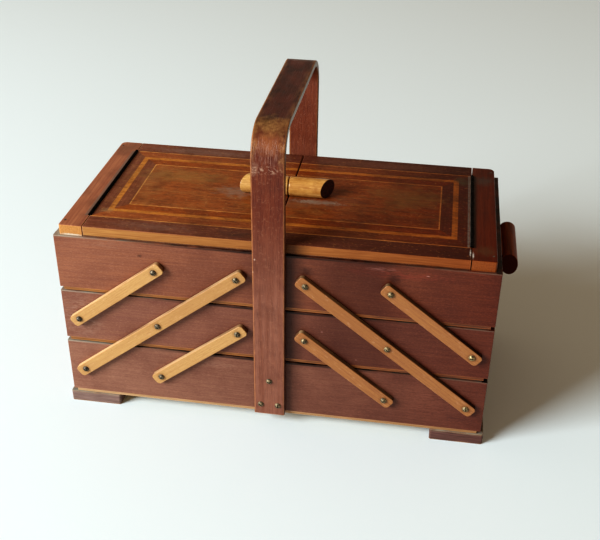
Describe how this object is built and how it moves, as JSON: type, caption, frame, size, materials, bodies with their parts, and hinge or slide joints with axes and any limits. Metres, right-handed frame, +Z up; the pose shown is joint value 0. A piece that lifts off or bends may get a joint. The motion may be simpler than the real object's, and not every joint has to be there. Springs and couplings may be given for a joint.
{
  "type": "cantilever sewing carrier",
  "caption": "Wooden cantilever sewing box: a base box, pairs of trays that swing out to both sides on wooden arms, hinged lids with bar knobs, and a tall bent handle.",
  "frame": {"origin": "on the surface under the feet, below the middle of the box", "axes": "+Z up, +X along the box's length, the front faces -Y"},
  "size_m": [0.4688, 0.2252, 0.3285],
  "materials": {
    "wall_mahogany": "mahogany-stained, satin varnish",
    "lid_veneer": "mahogany veneer with light stringing, worn gloss varnish",
    "strip_mahogany": "mahogany-stained top, light front edge",
    "arm_beech": "clear-varnished beech",
    "floor_plywood": "birch plywood",
    "handle_bentwood": "steam-bent, mahogany-stained, worn",
    "knob_varnish": "golden varnish, dark stained sawn end",
    "grip_stained": "dark mahogany stain",
    "feet_stained": "dark mahogany stain, dusty",
    "screw_steel": "dull steel",
    "hinge_metal": "darkened brass-plated steel"
  },
  "bodies": {
    "base": {"base_front_panel": "wall_mahogany", "base_back_panel": "wall_mahogany", "base_left_end": "wall_mahogany", "base_right_end": "wall_mahogany", "base_floor": "floor_plywood", "corner_feet": "feet_stained", "carry_handle": "handle_bentwood", "handle_screws": "screw_steel", "base_pivot_screws": "screw_steel"},
    "left_long_arms": {"left_front_long_arm": "arm_beech", "left_back_long_arm": "arm_beech"},
    "left_middle_tray": {"left_middle_front_panel": "wall_mahogany", "left_middle_back_panel": "wall_mahogany", "left_middle_inner_end": "wall_mahogany", "left_middle_outer_end": "wall_mahogany", "left_middle_floor": "floor_plywood", "left_middle_pivot_screws": "screw_steel"},
    "left_top_tray": {"left_top_front_panel": "wall_mahogany", "left_top_back_panel": "wall_mahogany", "left_top_inner_end": "wall_mahogany", "left_top_outer_end": "wall_mahogany", "left_top_floor": "floor_plywood", "left_top_pivot_screws": "screw_steel", "left_end_strip": "strip_mahogany", "left_end_grip": "grip_stained", "left_hinge_fixed_leaf": "hinge_metal", "left_hinge_pin": "hinge_metal"},
    "left_lid": {"left_lid_panel": "lid_veneer", "left_hinge_lid_leaf": "hinge_metal", "left_lid_knob": "knob_varnish"},
    "left_lower_arms": {"left_front_lower_arm": "arm_beech", "left_back_lower_arm": "arm_beech"},
    "left_upper_arms": {"left_front_upper_arm": "arm_beech", "left_back_upper_arm": "arm_beech"},
    "right_long_arms": {"right_front_long_arm": "arm_beech", "right_back_long_arm": "arm_beech"},
    "right_middle_tray": {"right_middle_front_panel": "wall_mahogany", "right_middle_back_panel": "wall_mahogany", "right_middle_inner_end": "wall_mahogany", "right_middle_outer_end": "wall_mahogany", "right_middle_floor": "floor_plywood", "right_middle_pivot_screws": "screw_steel"},
    "right_top_tray": {"right_top_front_panel": "wall_mahogany", "right_top_back_panel": "wall_mahogany", "right_top_inner_end": "wall_mahogany", "right_top_outer_end": "wall_mahogany", "right_top_floor": "floor_plywood", "right_top_pivot_screws": "screw_steel", "right_end_strip": "strip_mahogany", "right_end_grip": "grip_stained", "right_hinge_fixed_leaf": "hinge_metal", "right_hinge_pin": "hinge_metal"},
    "right_lid": {"right_lid_panel": "lid_veneer", "right_hinge_lid_leaf": "hinge_metal", "right_lid_knob": "knob_varnish"},
    "right_lower_arms": {"right_front_lower_arm": "arm_beech", "right_back_lower_arm": "arm_beech"},
    "right_upper_arms": {"right_front_upper_arm": "arm_beech", "right_back_upper_arm": "arm_beech"}
  },
  "joints": [
    {"name": "left_fold", "type": "hinge", "parent": "base", "child": "left_long_arms", "pos_m": [-0.1966, 0, 0.0466], "axis": [0, -1, 0], "range_deg": [0, 104.53]},
    {"name": "left_middle_tray_level", "type": "hinge", "parent": "left_long_arms", "child": "left_middle_tray", "pos_m": [-0.1151, 0, 0.10967], "axis": [0, -1, 0], "range_deg": [-104.53, 0]},
    {"name": "left_top_tray_level", "type": "hinge", "parent": "left_long_arms", "child": "left_top_tray", "pos_m": [-0.0336, 0, 0.17275], "axis": [0, -1, 0], "range_deg": [-104.53, 0]},
    {"name": "left_lower_arm_swing", "type": "hinge", "parent": "base", "child": "left_lower_arms", "pos_m": [-0.1151, 0, 0.0466], "axis": [0, -1, 0], "range_deg": [0, 104.53]},
    {"name": "left_upper_arm_swing", "type": "hinge", "parent": "left_middle_tray", "child": "left_upper_arms", "pos_m": [-0.1966, 0, 0.10967], "axis": [0, -1, 0], "range_deg": [0, 104.53]},
    {"name": "left_lid_hinge", "type": "hinge", "parent": "left_top_tray", "child": "left_lid", "pos_m": [-0.18585, 0, 0.2131], "axis": [0, -1, 0], "range_deg": [0, 175]},
    {"name": "right_fold", "type": "hinge", "parent": "base", "child": "right_long_arms", "pos_m": [0.1966, 0, 0.0466], "axis": [0, 1, 0], "range_deg": [0, 104.53]},
    {"name": "right_middle_tray_level", "type": "hinge", "parent": "right_long_arms", "child": "right_middle_tray", "pos_m": [0.1151, 0, 0.10967], "axis": [0, 1, 0], "range_deg": [-104.53, 0]},
    {"name": "right_top_tray_level", "type": "hinge", "parent": "right_long_arms", "child": "right_top_tray", "pos_m": [0.0336, 0, 0.17275], "axis": [0, 1, 0], "range_deg": [-104.53, 0]},
    {"name": "right_lower_arm_swing", "type": "hinge", "parent": "base", "child": "right_lower_arms", "pos_m": [0.1151, 0, 0.0466], "axis": [0, 1, 0], "range_deg": [0, 104.53]},
    {"name": "right_upper_arm_swing", "type": "hinge", "parent": "right_middle_tray", "child": "right_upper_arms", "pos_m": [0.1966, 0, 0.10967], "axis": [0, 1, 0], "range_deg": [0, 104.53]},
    {"name": "right_lid_hinge", "type": "hinge", "parent": "right_top_tray", "child": "right_lid", "pos_m": [0.18585, 0, 0.2131], "axis": [0, 1, 0], "range_deg": [0, 175]}
  ],
  "couplings": [
    {"joint": "left_middle_tray_level", "follows": "left_fold", "ratio": -1},
    {"joint": "left_top_tray_level", "follows": "left_fold", "ratio": -1},
    {"joint": "left_lower_arm_swing", "follows": "left_fold", "ratio": 1},
    {"joint": "left_upper_arm_swing", "follows": "left_fold", "ratio": 1},
    {"joint": "right_middle_tray_level", "follows": "right_fold", "ratio": -1},
    {"joint": "right_top_tray_level", "follows": "right_fold", "ratio": -1},
    {"joint": "right_lower_arm_swing", "follows": "right_fold", "ratio": 1},
    {"joint": "right_upper_arm_swing", "follows": "right_fold", "ratio": 1}
  ]
}
